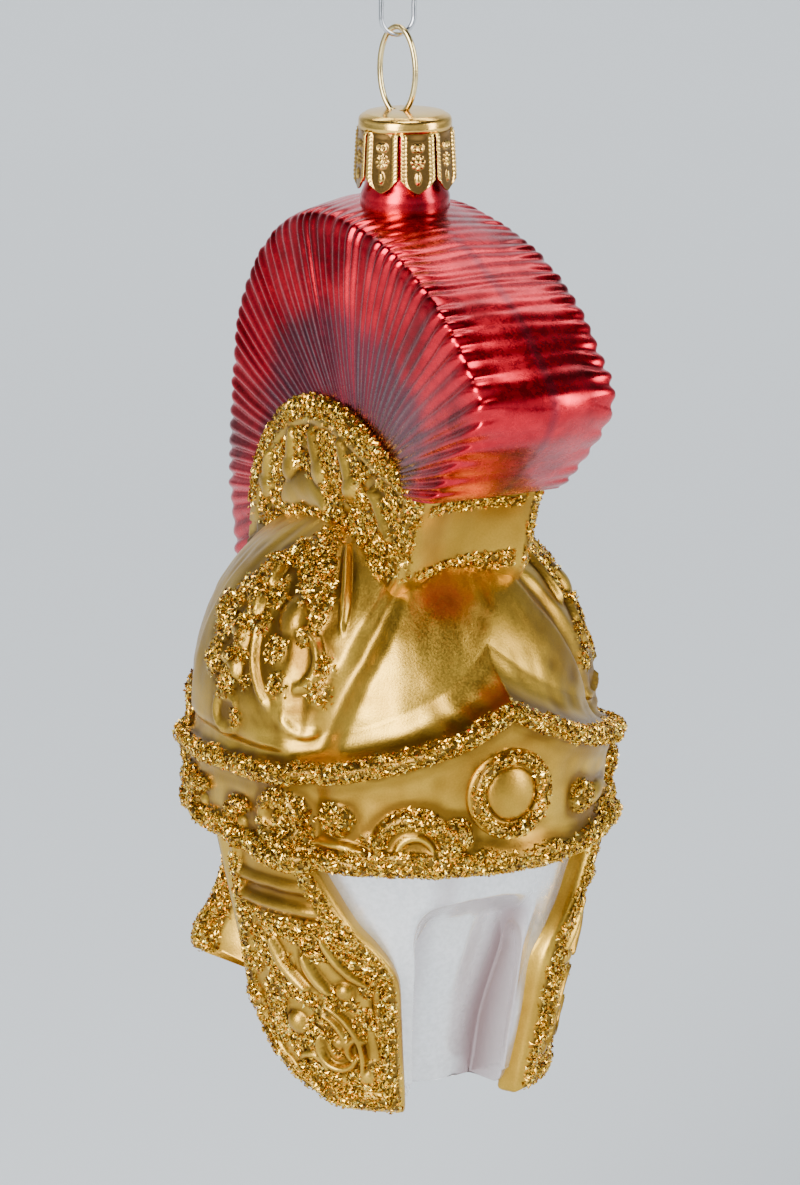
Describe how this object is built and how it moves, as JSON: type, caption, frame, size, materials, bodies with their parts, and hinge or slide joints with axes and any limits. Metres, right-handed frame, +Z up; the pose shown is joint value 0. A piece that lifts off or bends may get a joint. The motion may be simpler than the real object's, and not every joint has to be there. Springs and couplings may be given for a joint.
{
  "type": "glass roman helmet ornament",
  "caption": "Blown-glass hanging ornament shaped as a crested Roman helmet with cheek guards, with a stamped metal cap, a wire loop and a plain steel link.",
  "frame": {"origin": "inner top of the wire loop, where the ornament hangs", "axes": "+Z up, -Y the way the helmet faces, -X the wearer's right"},
  "size_m": [0.0498, 0.0698, 0.1407],
  "materials": {
    "gold_lacquer": "satin metallic gold lacquer with a fine powdery grain",
    "red_lacquer": "glossy translucent red lacquer over silvered glass, with dark purple-grey shading low on the sides",
    "white_lacquer": "satin pearl white lacquer",
    "gold_glitter": "coarse gold glitter glued on in lines",
    "gilt_cap": "bright stamped and gilded metal",
    "gilt_wire": "bright drawn wire",
    "steel_wire": "bright drawn wire"
  },
  "bodies": {
    "root": {"glass_body": "gold_lacquer", "cap": "gilt_cap", "wire_loop": "gilt_wire", "hanging_link": "steel_wire"}
  },
  "joints": []
}
